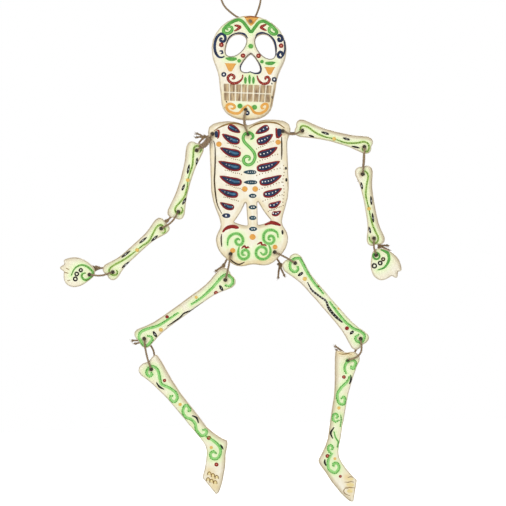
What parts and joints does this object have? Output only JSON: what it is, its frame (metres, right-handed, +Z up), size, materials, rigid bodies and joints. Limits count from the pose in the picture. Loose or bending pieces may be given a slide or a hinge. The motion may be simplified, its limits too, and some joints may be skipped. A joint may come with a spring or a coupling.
{
  "type": "carved wooden skeleton",
  "caption": "Flat carved and painted wooden skeleton whose skull, torso, limb bones, hands and feet are tied together with twine and hang from a twine loop.",
  "frame": {"origin": "inner top of the hanging loop, where a nail or hook carries it", "axes": "+Z up, the painted faces look along -Y, +X to the viewer's right; the figure lies in the XZ plane in the pose of the picture, turned 1.5 degrees so that its weight hangs plumb below the nail"},
  "size_m": [0.3419, 0.0229, 0.5544],
  "materials": {
    "painted_wood": "cream paint with coloured ornament, satin",
    "twine": "natural fibre, matt"
  },
  "bodies": {
    "hanger_loop": {"hanger_loop": "twine"},
    "skull": {"skull": "painted_wood"},
    "neck_tie": {"neck_tie": "twine"},
    "torso": {"torso": "painted_wood"},
    "right_shoulder_tie": {"right_shoulder_tie": "twine"},
    "right_upper_arm": {"right_upper_arm": "painted_wood"},
    "right_elbow_tie": {"right_elbow_tie": "twine"},
    "right_forearm": {"right_forearm": "painted_wood"},
    "right_wrist_tie": {"right_wrist_tie": "twine"},
    "right_hand": {"right_hand": "painted_wood"},
    "right_hip_tie": {"right_hip_tie": "twine"},
    "right_thigh": {"right_thigh": "painted_wood"},
    "right_knee_tie": {"right_knee_tie": "twine"},
    "right_shin": {"right_shin": "painted_wood"},
    "left_shoulder_tie": {"left_shoulder_tie": "twine"},
    "left_upper_arm": {"left_upper_arm": "painted_wood"},
    "left_elbow_tie": {"left_elbow_tie": "twine"},
    "left_forearm": {"left_forearm": "painted_wood"},
    "left_wrist_tie": {"left_wrist_tie": "twine"},
    "left_hand": {"left_hand": "painted_wood"},
    "left_hip_tie": {"left_hip_tie": "twine"},
    "left_thigh": {"left_thigh": "painted_wood"},
    "left_knee_tie": {"left_knee_tie": "twine"},
    "left_shin": {"left_shin": "painted_wood"}
  },
  "joints": [
    {"name": "skull_swing", "type": "hinge", "parent": "hanger_loop", "child": "skull", "pos_m": [0.00237, 0, -0.07009], "axis": [0, -1, 0], "range_deg": [-22, 44]},
    {"name": "neck_tie_swing", "type": "hinge", "parent": "skull", "child": "neck_tie", "pos_m": [-0.00432, 0, -0.15804], "axis": [0, 1, 0], "range_deg": [-8, 17]},
    {"name": "torso_swing", "type": "hinge", "parent": "neck_tie", "child": "torso", "pos_m": [-0.00295, 0, -0.1826], "axis": [0, -1, 0], "range_deg": [-10, 6]},
    {"name": "right_shoulder_tie_swing", "type": "hinge", "parent": "torso", "child": "right_shoulder_tie", "pos_m": [-0.03817, 0, -0.18139], "axis": [0, 1, 0], "range_deg": [-12, 95]},
    {"name": "right_upper_arm_swing", "type": "hinge", "parent": "right_shoulder_tie", "child": "right_upper_arm", "pos_m": [-0.05454, 0, -0.19726], "axis": [0, -1, 0], "range_deg": [-90, 18]},
    {"name": "right_elbow_tie_swing", "type": "hinge", "parent": "right_upper_arm", "child": "right_elbow_tie", "pos_m": [-0.07432, 0, -0.25813], "axis": [0, 1, 0], "range_deg": [-26, 90]},
    {"name": "right_forearm_swing", "type": "hinge", "parent": "right_elbow_tie", "child": "right_forearm", "pos_m": [-0.09194, 0, -0.27427], "axis": [0, -1, 0], "range_deg": [-95, 35]},
    {"name": "right_wrist_tie_swing", "type": "hinge", "parent": "right_forearm", "child": "right_wrist_tie", "pos_m": [-0.14137, 0, -0.31649], "axis": [0, 1, 0], "range_deg": [-95, 90]},
    {"name": "right_hand_swing", "type": "hinge", "parent": "right_wrist_tie", "child": "right_hand", "pos_m": [-0.16468, 0, -0.31848], "axis": [0, -1, 0], "range_deg": [-68, 95]},
    {"name": "right_hip_tie_swing", "type": "hinge", "parent": "torso", "child": "right_hip_tie", "pos_m": [-0.02329, 0, -0.30139], "axis": [0, 1, 0], "range_deg": [-18, 20]},
    {"name": "right_thigh_swing", "type": "hinge", "parent": "right_hip_tie", "child": "right_thigh", "pos_m": [-0.02928, 0, -0.32731], "axis": [0, -1, 0], "range_deg": [-26, 20]},
    {"name": "right_knee_tie_swing", "type": "hinge", "parent": "right_thigh", "child": "right_knee_tie", "pos_m": [-0.11179, 0, -0.38381], "axis": [0, 1, 0], "range_deg": [-62, 95]},
    {"name": "right_shin_swing", "type": "hinge", "parent": "right_knee_tie", "child": "right_shin", "pos_m": [-0.10558, 0, -0.41459], "axis": [0, -1, 0], "range_deg": [-95, 82]},
    {"name": "left_shoulder_tie_swing", "type": "hinge", "parent": "torso", "child": "left_shoulder_tie", "pos_m": [0.03222, 0, -0.18041], "axis": [0, -1, 0], "range_deg": [-11, 82]},
    {"name": "left_upper_arm_swing", "type": "hinge", "parent": "left_shoulder_tie", "child": "left_upper_arm", "pos_m": [0.05162, 0, -0.1802], "axis": [0, 1, 0], "range_deg": [-95, 11]},
    {"name": "left_elbow_tie_swing", "type": "hinge", "parent": "left_upper_arm", "child": "left_elbow_tie", "pos_m": [0.11311, 0, -0.19795], "axis": [0, -1, 0], "range_deg": [-24, 95]},
    {"name": "left_forearm_swing", "type": "hinge", "parent": "left_elbow_tie", "child": "left_forearm", "pos_m": [0.11067, 0, -0.22534], "axis": [0, 1, 0], "range_deg": [-95, 33]},
    {"name": "left_wrist_tie_swing", "type": "hinge", "parent": "left_forearm", "child": "left_wrist_tie", "pos_m": [0.12039, 0, -0.28961], "axis": [0, -1, 0], "range_deg": [-95, 36]},
    {"name": "left_hand_swing", "type": "hinge", "parent": "left_wrist_tie", "child": "left_hand", "pos_m": [0.12207, 0, -0.30653], "axis": [0, 1, 0], "range_deg": [-30, 95]},
    {"name": "left_hip_tie_swing", "type": "hinge", "parent": "torso", "child": "left_hip_tie", "pos_m": [0.0207, 0, -0.30078], "axis": [0, -1, 0], "range_deg": [-18, 20]},
    {"name": "left_thigh_swing", "type": "hinge", "parent": "left_hip_tie", "child": "left_thigh", "pos_m": [0.04101, 0, -0.31241], "axis": [0, 1, 0], "range_deg": [-28, 20]},
    {"name": "left_knee_tie_swing", "type": "hinge", "parent": "left_thigh", "child": "left_knee_tie", "pos_m": [0.10448, 0, -0.38968], "axis": [0, -1, 0], "range_deg": [-44, 95]},
    {"name": "left_shin_swing", "type": "hinge", "parent": "left_knee_tie", "child": "left_shin", "pos_m": [0.0908, 0, -0.41132], "axis": [0, 1, 0], "range_deg": [-25, 50]}
  ]
}
